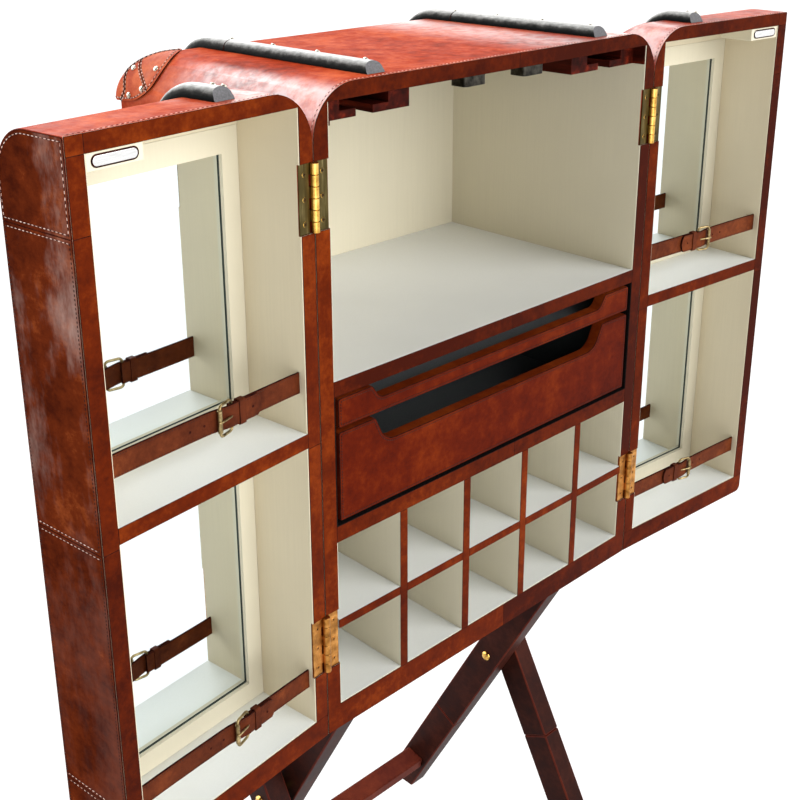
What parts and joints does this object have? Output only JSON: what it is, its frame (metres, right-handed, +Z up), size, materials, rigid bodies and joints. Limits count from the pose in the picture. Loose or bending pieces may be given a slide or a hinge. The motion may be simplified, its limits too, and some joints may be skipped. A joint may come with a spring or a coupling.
{
  "type": "trunk bar cabinet",
  "caption": "Leather-covered trunk bar cabinet with two open box doors, mirrors, straps, drawers, bottle cubbies and stem racks, on a folding cross-leg stand.",
  "frame": {"origin": "on the floor, at the middle of the cabinet's footprint with its doors open as in the picture", "axes": "+X to the right seen from the front, +Y to the back, +Z up"},
  "size_m": [1.1752, 0.4456, 1.3626],
  "materials": {
    "tan_leather": "polished aniline leather over a plywood carcass, stitched and burnished",
    "drawer_leather": "polished leather drawer fronts with a stitched edge",
    "dark_strap_leather": "dark brown strap leather with stitched edges",
    "black_leather_batten": "black leather wrapped over a bent wooden batten",
    "cream_lining": "cream matt lining",
    "white_board": "off-white matt lining",
    "charcoal_lining": "charcoal grey lining",
    "stained_wood": "wood stained dark red-brown",
    "dark_stand_wood": "wood stained very dark red-brown, satin lacquer",
    "brass": "polished brass",
    "antique_brass": "antiqued brass",
    "dark_steel": "dark magnetic catches",
    "mirror_glass": "silvered mirror"
  },
  "bodies": {
    "stand_outer": {"outer_leg_left": "dark_stand_wood", "outer_leg_right": "dark_stand_wood", "outer_top_rail": "dark_stand_wood", "outer_stretcher": "dark_stand_wood", "pivot_bolt_left": "brass", "pivot_bolt_right": "brass"},
    "stand_inner": {"inner_leg_left": "dark_stand_wood", "inner_leg_right": "dark_stand_wood", "inner_top_rail": "dark_stand_wood", "inner_stretcher": "dark_stand_wood"},
    "trunk": {"case_shell": "tan_leather", "bar_shelf": "white_board", "cubby_top_board": "white_board", "cubby_shelf": "white_board", "cubby_divider_1": "cream_lining", "cubby_divider_2": "cream_lining", "cubby_divider_3": "cream_lining", "cubby_divider_4": "cream_lining", "drawer_runner_left": "stained_wood", "drawer_runner_right": "stained_wood", "stemware_rack_left": "stained_wood", "stemware_rack_right": "stained_wood", "catch_left": "dark_steel", "catch_right": "dark_steel", "case_batten_left": "black_leather_batten", "case_batten_right": "black_leather_batten", "corner_cap_left": "tan_leather", "corner_cap_right": "tan_leather", "left_hinge_leaf_lower": "brass", "left_hinge_leaf_upper": "brass", "right_hinge_leaf_lower": "brass", "right_hinge_leaf_upper": "brass"},
    "left_door": {"left_door_box": "tan_leather", "left_door_shelf": "white_board", "left_mirror_frame": "cream_lining", "left_mirror": "mirror_glass", "left_strike_block": "cream_lining", "left_door_batten": "black_leather_batten", "left_door_leaf_lower": "brass", "left_door_leaf_upper": "brass", "left_strap_lower": "dark_strap_leather", "left_strap_upper": "dark_strap_leather", "left_buckle_lower": "antique_brass", "left_buckle_upper": "antique_brass"},
    "right_door": {"right_door_box": "tan_leather", "right_door_shelf": "white_board", "right_mirror_frame": "cream_lining", "right_mirror": "mirror_glass", "right_strike_block": "cream_lining", "right_door_batten": "black_leather_batten", "right_door_leaf_lower": "brass", "right_door_leaf_upper": "brass", "right_strap_lower": "dark_strap_leather", "right_strap_upper": "dark_strap_leather", "right_buckle_lower": "antique_brass", "right_buckle_upper": "antique_brass"},
    "upper_drawer": {"upper_drawer_front": "drawer_leather", "upper_drawer_tray": "charcoal_lining"},
    "lower_drawer": {"lower_drawer_front": "drawer_leather", "lower_drawer_tray": "charcoal_lining"}
  },
  "joints": [
    {"name": "trunk_lift", "type": "slide", "parent": "stand_outer", "child": "trunk", "axis": [0, 0, 1], "range_m": [0, 0.25]},
    {"name": "stand_fold", "type": "hinge", "parent": "stand_outer", "child": "stand_inner", "pos_m": [0.00128, 0, 0.3624], "axis": [-1, 0, 0], "range_deg": [0, 44]},
    {"name": "left_door_hinge", "type": "hinge", "parent": "trunk", "child": "left_door", "pos_m": [-0.28922, -0.178, 0.97], "axis": [0, 0, 1], "range_deg": [-6.3, 173.6]},
    {"name": "right_door_hinge", "type": "hinge", "parent": "trunk", "child": "right_door", "pos_m": [0.29178, -0.178, 0.97], "axis": [0, 0, -1], "range_deg": [-4.3, 175.6]},
    {"name": "upper_drawer_slide", "type": "slide", "parent": "trunk", "child": "upper_drawer", "axis": [0, 1, 0], "range_m": [-0.25, 0]},
    {"name": "lower_drawer_slide", "type": "slide", "parent": "trunk", "child": "lower_drawer", "axis": [0, 1, 0], "range_m": [-0.25, 0]}
  ],
  "couplings": [
    {"joint": "stand_fold", "follows": "trunk_lift", "rad_per_m": 3.07}
  ]
}
